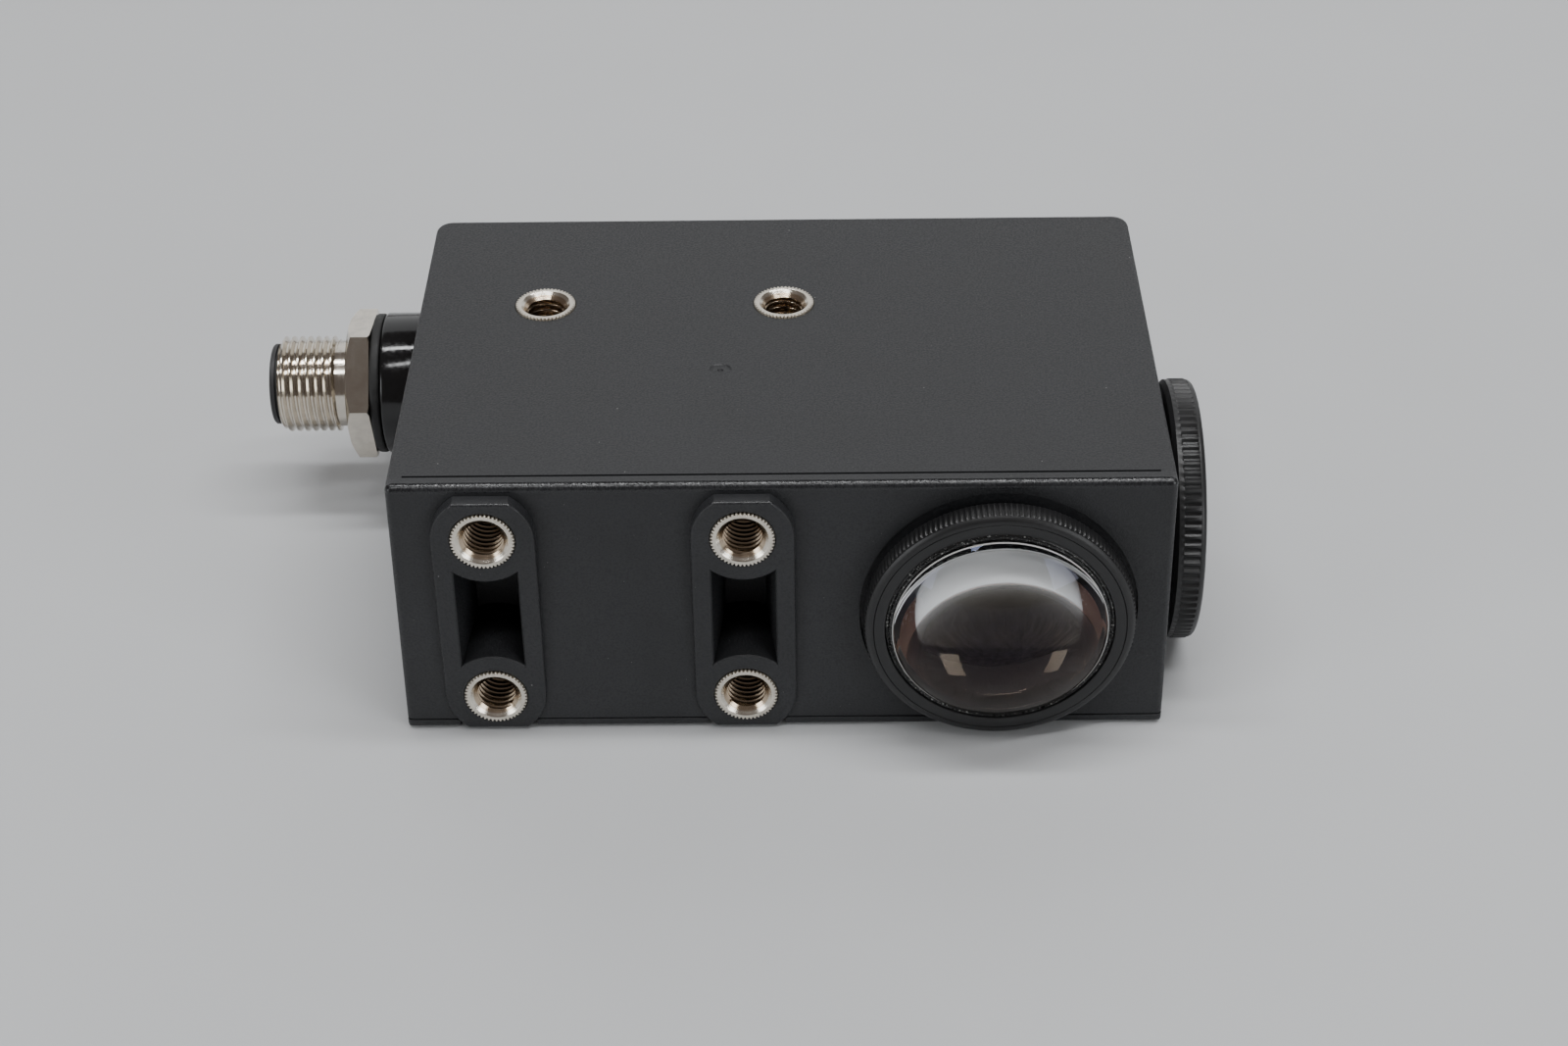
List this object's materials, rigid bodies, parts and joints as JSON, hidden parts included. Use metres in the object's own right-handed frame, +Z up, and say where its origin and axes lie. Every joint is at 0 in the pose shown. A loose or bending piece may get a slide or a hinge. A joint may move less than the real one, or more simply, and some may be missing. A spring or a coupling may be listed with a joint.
{
  "type": "photoelectric scanner module",
  "caption": "Compact optical scanner head: black moulded housing, knurled screw-in lens, blind cap on the side port, threaded brass mounting inserts and a round plug connector.",
  "frame": {"origin": "centre of the lower face of the bottom cover", "axes": "+X towards the blind cap (long side), +Y towards the rear control panel, +Z up; the lens looks along -Y"},
  "size_m": [0.1097, 0.0673, 0.0324],
  "materials": {
    "black_moulding": "fine-grained black moulding",
    "satin_black_ring": "satin black, knurled rim",
    "gloss_black_sleeve": "glossy black",
    "seal_rubber": "matte black seal rubber",
    "nickel_plating": "nickel-plated brass",
    "screw_steel": "zinc-plated steel",
    "contact_gold": "gold-plated brass",
    "optical_glass": "clear polished glass",
    "circuit_board": "green solder mask",
    "component_black": "moulded component",
    "flex_lead_amber": "amber polyimide film",
    "button_rubber": "soft dark grey",
    "panel_plastic": "fine satin dark grey",
    "status_green": "translucent green",
    "status_amber": "translucent amber"
  },
  "bodies": {
    "housing": {"beam_splitter": "optical_glass", "board_screw_1": "screw_steel", "board_screw_2": "screw_steel", "board_screw_3": "screw_steel", "bottom_cover": "black_moulding", "button_switch_1": "component_black", "button_switch_2": "component_black", "condenser_lens": "optical_glass", "connector_insulator": "black_moulding", "connector_lead": "flex_lead_amber", "connector_locknut": "nickel_plating", "connector_seal": "seal_rubber", "connector_shell": "nickel_plating", "connector_sleeve": "gloss_black_sleeve", "contact_pin_1": "contact_gold", "contact_pin_2": "contact_gold", "contact_pin_3": "contact_gold", "contact_pin_4": "contact_gold", "contact_pin_5": "contact_gold", "control_panel": "panel_plastic", "cover_gasket": "seal_rubber", "cover_screw_1": "screw_steel", "cover_screw_2": "screw_steel", "cover_screw_3": "screw_steel", "cover_screw_4": "screw_steel", "emitter_board": "circuit_board", "emitter_flex": "flex_lead_amber", "emitter_led": "component_black", "front_insert_1": "nickel_plating", "front_insert_2": "nickel_plating", "front_insert_3": "nickel_plating", "front_insert_4": "nickel_plating", "housing_body": "black_moulding", "main_board": "circuit_board", "optics_block": "black_moulding", "optics_screw_1": "screw_steel", "optics_screw_2": "screw_steel", "panel_board": "circuit_board", "panel_flex": "flex_lead_amber", "panel_screw_1": "screw_steel", "panel_screw_2": "screw_steel", "photodiode": "component_black", "processor_chip": "component_black", "receiver_board": "circuit_board", "receiver_flex": "flex_lead_amber", "receiver_lens": "optical_glass", "status_led_1": "component_black", "status_led_2": "component_black", "status_light_1": "status_green", "status_light_2": "status_amber", "top_insert_1": "nickel_plating", "top_insert_2": "nickel_plating"},
    "lens_seat": {"lens_seal": "seal_rubber"},
    "lens_unit": {"lens_ring": "satin_black_ring", "front_lens": "optical_glass", "lens_bead": "seal_rubber"},
    "cap_seat": {"cap_seal": "seal_rubber"},
    "cap_unit": {"blind_cap": "satin_black_ring"},
    "teach_key_1": {"teach_button_1": "button_rubber"},
    "teach_key_2": {"teach_button_2": "button_rubber"}
  },
  "joints": [
    {"name": "lens_slide", "type": "slide", "parent": "housing", "child": "lens_seat", "axis": [0, -1, 0], "range_m": [0, 0.005]},
    {"name": "lens_turn", "type": "hinge", "parent": "lens_seat", "child": "lens_unit", "pos_m": [0.0237, -0.03215, 0.0155], "axis": [0, -1, 0], "range_deg": [0, 1800]},
    {"name": "cap_slide", "type": "slide", "parent": "housing", "child": "cap_seat", "axis": [1, 0, 0], "range_m": [0, 0.005]},
    {"name": "cap_turn", "type": "hinge", "parent": "cap_seat", "child": "cap_unit", "pos_m": [0.0469, -0.0096, 0.0155], "axis": [1, 0, 0], "range_deg": [0, 1800]},
    {"name": "teach_press_1", "type": "slide", "parent": "housing", "child": "teach_key_1", "axis": [0, -1, 0], "range_m": [0, 0.0005], "stiffness_N_per_m": 1500},
    {"name": "teach_press_2", "type": "slide", "parent": "housing", "child": "teach_key_2", "axis": [0, -1, 0], "range_m": [0, 0.0005], "stiffness_N_per_m": 1500}
  ],
  "couplings": [
    {"joint": "lens_slide", "follows": "lens_turn", "m_per_rad": 0.000159},
    {"joint": "cap_slide", "follows": "cap_turn", "m_per_rad": 0.000159}
  ]
}
